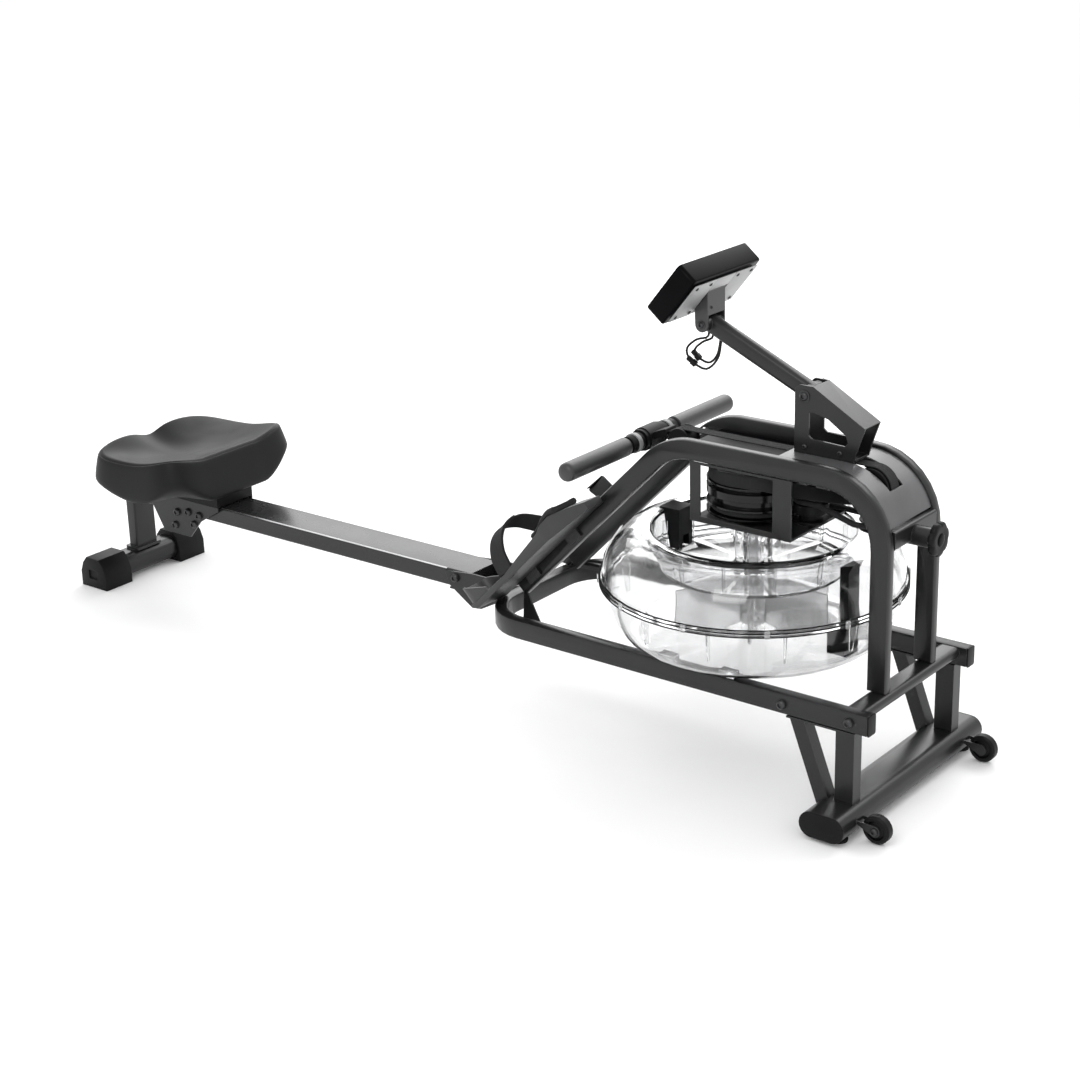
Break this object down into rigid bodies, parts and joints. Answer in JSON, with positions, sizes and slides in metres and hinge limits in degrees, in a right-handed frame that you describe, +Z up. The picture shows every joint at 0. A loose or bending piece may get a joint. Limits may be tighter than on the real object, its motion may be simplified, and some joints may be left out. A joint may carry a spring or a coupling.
{
  "type": "water rowing machine",
  "caption": "Water-resistance rowing machine: clear round tank with paddle impeller under tube arches, strap-and-bungee drive, sliding seat on a rail, foot pedals, tilting console.",
  "frame": {"origin": "on the floor at the middle of the machine's box", "axes": "+X along the machine from the rear foot to the front stand, +Y to the rower's left, +Z up"},
  "size_m": [1.9794, 0.526, 0.8719],
  "materials": {
    "black_steel": "satin",
    "grey_steel": "satin",
    "clear_shell": "clear",
    "black_plastic": "matte",
    "gloss_black": "gloss",
    "grey_plastic": "satin",
    "black_rubber": "matte",
    "cushion_skin": "matte",
    "black_webbing": "woven",
    "bright_steel": "brushed"
  },
  "bodies": {
    "frame": {"base_tube": "black_steel", "front_leg_left": "black_steel", "front_leg_right": "black_steel", "front_stabilizer": "black_steel", "arch_left": "black_steel", "arch_right": "black_steel", "arch_crossmember": "black_steel", "curved_cover": "grey_steel", "drive_cage": "black_steel", "mast_bracket": "black_steel", "seat_rail": "black_steel", "rail_post": "black_steel", "rear_foot_cap_left": "black_plastic", "rear_foot_cap_right": "black_plastic", "rail_bracket": "black_steel", "pedal_left": "black_plastic", "pedal_right": "black_plastic", "pedal_strap_left": "black_webbing", "pedal_strap_right": "black_webbing", "tank_lower_shell": "clear_shell", "tank_upper_shell": "clear_shell", "tank_gasket": "black_rubber", "tank_clamp": "black_plastic", "tank_baffle": "black_plastic", "front_roller_axle": "bright_steel", "rear_roller_axle": "bright_steel", "bungee_cord": "black_webbing", "strap_return": "black_webbing"},
    "plug": {"fill_plug": "black_rubber"},
    "rotor": {"impeller": "grey_plastic"},
    "drum": {"belt_drum": "black_plastic"},
    "front_roller": {"front_guide_roller": "black_plastic"},
    "rear_roller": {"rear_guide_roller": "black_plastic"},
    "front_idler": {"bungee_idler_front": "black_plastic"},
    "rear_idler": {"bungee_idler_rear": "black_plastic"},
    "handle": {"handle_bar": "bright_steel", "handle_clamp": "black_plastic", "handle_grip_left": "black_rubber", "handle_grip_right": "black_rubber", "handle_strap": "black_webbing"},
    "seat": {"seat_cushion": "cushion_skin", "seat_base": "black_plastic", "seat_carriage": "black_steel"},
    "seat_wheel_front": {"seat_roller_front": "grey_plastic"},
    "seat_wheel_rear": {"seat_roller_rear": "grey_plastic"},
    "seat_wheel_lower": {"seat_roller_lower": "grey_plastic"},
    "heel_left": {"heel_cup_left": "black_plastic"},
    "heel_right": {"heel_cup_right": "black_plastic"},
    "mast": {"monitor_arm": "black_steel", "console_cable": "black_webbing"},
    "mast_knob": {"mast_lock_knob": "black_plastic"},
    "console": {"console_housing": "gloss_black", "console_back": "grey_steel"},
    "button_left": {"console_button_left": "black_rubber"},
    "button_right": {"console_button_right": "black_rubber"},
    "wheel_left": {"transport_wheel_left": "black_plastic"},
    "wheel_right": {"transport_wheel_right": "black_plastic"},
    "foot_left": {"levelling_foot_left": "black_rubber"},
    "foot_right": {"levelling_foot_right": "black_rubber"},
    "star_knob": {"front_knob": "black_plastic"}
  },
  "joints": [
    {"name": "seat_slide", "type": "slide", "parent": "frame", "child": "seat", "axis": [1, 0, 0], "range_m": [0, 0.53]},
    {"name": "seat_wheel_front_spin", "type": "hinge", "parent": "seat", "child": "seat_wheel_front", "pos_m": [-0.711, 0, 0.2267], "axis": [0, 1, 0], "range_deg": [-5, 1822]},
    {"name": "seat_wheel_rear_spin", "type": "hinge", "parent": "seat", "child": "seat_wheel_rear", "pos_m": [-0.827, 0, 0.2267], "axis": [0, 1, 0], "range_deg": [-5, 1822]},
    {"name": "seat_wheel_lower_spin", "type": "hinge", "parent": "seat", "child": "seat_wheel_lower", "pos_m": [-0.757, 0, 0.1615], "axis": [0, 1, 0], "range_deg": [-2382.6, 5]},
    {"name": "handle_pull", "type": "slide", "parent": "frame", "child": "handle", "axis": [-0.9945, 0, 0.1045], "range_m": [0, 0.95], "deforming": ["handle_strap"]},
    {"name": "drum_spin", "type": "hinge", "parent": "frame", "child": "drum", "pos_m": [0.61165, 0, 0.49], "axis": [0, 0, 1], "range_deg": [-5, 740.3]},
    {"name": "front_roller_spin", "type": "hinge", "parent": "frame", "child": "front_roller", "pos_m": [0.843, 0, 0.5295], "axis": [0, 1, 0], "range_deg": [-1682.4, 5]},
    {"name": "rear_roller_spin", "type": "hinge", "parent": "frame", "child": "rear_roller", "pos_m": [0.47, 0, 0.5425], "axis": [0, 1, 0], "range_deg": [-2776, 5]},
    {"name": "front_idler_spin", "type": "hinge", "parent": "frame", "child": "front_idler", "pos_m": [0.848, 0, 0.466], "axis": [0, 0, 1], "range_deg": [-5, 1216.6]},
    {"name": "rear_idler_spin", "type": "hinge", "parent": "frame", "child": "rear_idler", "pos_m": [0.723, 0, 0.476], "axis": [0, 0, 1], "range_deg": [-5, 608.3]},
    {"name": "impeller_spin", "type": "hinge", "parent": "frame", "child": "rotor", "pos_m": [0.61165, 0, 0.3], "axis": [0, 0, 1], "continuous": true},
    {"name": "mast_tilt", "type": "hinge", "parent": "frame", "child": "mast", "pos_m": [0.722, 0, 0.666], "axis": [0, 1, 0], "range_deg": [-10, 35]},
    {"name": "mast_knob_turn", "type": "hinge", "parent": "frame", "child": "mast_knob", "pos_m": [0.722, 0, 0.666], "axis": [0, 1, 0], "range_deg": [-180, 180]},
    {"name": "console_tilt", "type": "hinge", "parent": "mast", "child": "console", "pos_m": [0.523, 0, 0.756], "axis": [0, 1, 0], "range_deg": [-10, 12]},
    {"name": "heel_left_slide", "type": "slide", "parent": "frame", "child": "heel_left", "axis": [0.7071, 0, 0.7071], "range_m": [0, 0.04]},
    {"name": "heel_right_slide", "type": "slide", "parent": "frame", "child": "heel_right", "axis": [0.7071, 0, 0.7071], "range_m": [0, 0.04]},
    {"name": "plug_lift", "type": "slide", "parent": "frame", "child": "plug", "axis": [0, 0, 1], "range_m": [0, 0.02]},
    {"name": "wheel_left_spin", "type": "hinge", "parent": "frame", "child": "wheel_left", "pos_m": [0.9655, 0.181, 0.0256], "axis": [0, 1, 0], "continuous": true},
    {"name": "wheel_right_spin", "type": "hinge", "parent": "frame", "child": "wheel_right", "pos_m": [0.9655, -0.181, 0.0256], "axis": [0, 1, 0], "continuous": true},
    {"name": "foot_left_turn", "type": "hinge", "parent": "frame", "child": "foot_left", "pos_m": [0.908, 0.206, 0], "axis": [0, 0, 1], "range_deg": [-180, 180]},
    {"name": "foot_right_turn", "type": "hinge", "parent": "frame", "child": "foot_right", "pos_m": [0.908, -0.206, 0], "axis": [0, 0, 1], "range_deg": [-180, 180]},
    {"name": "star_knob_turn", "type": "hinge", "parent": "frame", "child": "star_knob", "pos_m": [0.957, 0, 0.461], "axis": [1, 0, 0], "range_deg": [-180, 180]},
    {"name": "button_left_press", "type": "slide", "parent": "console", "child": "button_left", "axis": [0.7716, 0, -0.6361], "range_m": [0, 0.001], "stiffness_N_per_m": 400},
    {"name": "button_right_press", "type": "slide", "parent": "console", "child": "button_right", "axis": [0.7716, 0, -0.6361], "range_m": [0, 0.001], "stiffness_N_per_m": 400}
  ],
  "couplings": [
    {"joint": "seat_wheel_front_spin", "follows": "seat_slide", "rad_per_m": 58.824},
    {"joint": "seat_wheel_rear_spin", "follows": "seat_slide", "rad_per_m": 58.824},
    {"joint": "seat_wheel_lower_spin", "follows": "seat_slide", "rad_per_m": -76.923},
    {"joint": "drum_spin", "follows": "handle_pull", "rad_per_m": 13.333},
    {"joint": "front_roller_spin", "follows": "handle_pull", "rad_per_m": -30.303},
    {"joint": "rear_roller_spin", "follows": "handle_pull", "rad_per_m": -50},
    {"joint": "front_idler_spin", "follows": "handle_pull", "rad_per_m": 21.913},
    {"joint": "rear_idler_spin", "follows": "handle_pull", "rad_per_m": 10.957}
  ]
}
